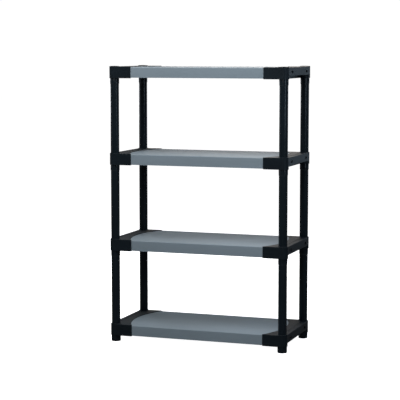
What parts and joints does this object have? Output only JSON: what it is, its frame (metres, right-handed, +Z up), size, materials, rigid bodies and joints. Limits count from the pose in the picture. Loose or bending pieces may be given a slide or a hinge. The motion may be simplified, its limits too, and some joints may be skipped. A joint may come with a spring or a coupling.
{
  "type": "boltless resin shelving unit",
  "caption": "Free-standing boltless shelving unit: grey moulded decks with black end caps, stacked on round black posts that push together.",
  "frame": {"origin": "on the floor, under the middle of the unit", "axes": "+X along the shelves to the right seen from the front, +Y from front to back, +Z up"},
  "size_m": [0.928, 0.433, 1.3885],
  "materials": {
    "grey_resin": "bluish grey moulded polypropylene, satin, fine grain",
    "black_resin": "black moulded polypropylene, satin",
    "post_resin": "black blow-moulded polyethylene tube, semi-gloss"
  },
  "bodies": {
    "root": {"deck_1": "grey_resin", "end_cap_left_1": "black_resin", "end_cap_right_1": "black_resin", "deck_2": "grey_resin", "end_cap_left_2": "black_resin", "end_cap_right_2": "black_resin", "deck_3": "grey_resin", "end_cap_left_3": "black_resin", "end_cap_right_3": "black_resin", "deck_4": "grey_resin", "end_cap_left_4": "black_resin", "end_cap_right_4": "black_resin", "foot_front_left": "black_resin", "post_front_left_1": "post_resin", "post_front_left_2": "post_resin", "post_front_left_3": "post_resin", "top_cap_front_left": "black_resin", "foot_front_right": "black_resin", "post_front_right_1": "post_resin", "post_front_right_2": "post_resin", "post_front_right_3": "post_resin", "top_cap_front_right": "black_resin", "foot_back_left": "black_resin", "post_back_left_1": "post_resin", "post_back_left_2": "post_resin", "post_back_left_3": "post_resin", "top_cap_back_left": "black_resin", "foot_back_right": "black_resin", "post_back_right_1": "post_resin", "post_back_right_2": "post_resin", "post_back_right_3": "post_resin", "top_cap_back_right": "black_resin"}
  },
  "joints": []
}
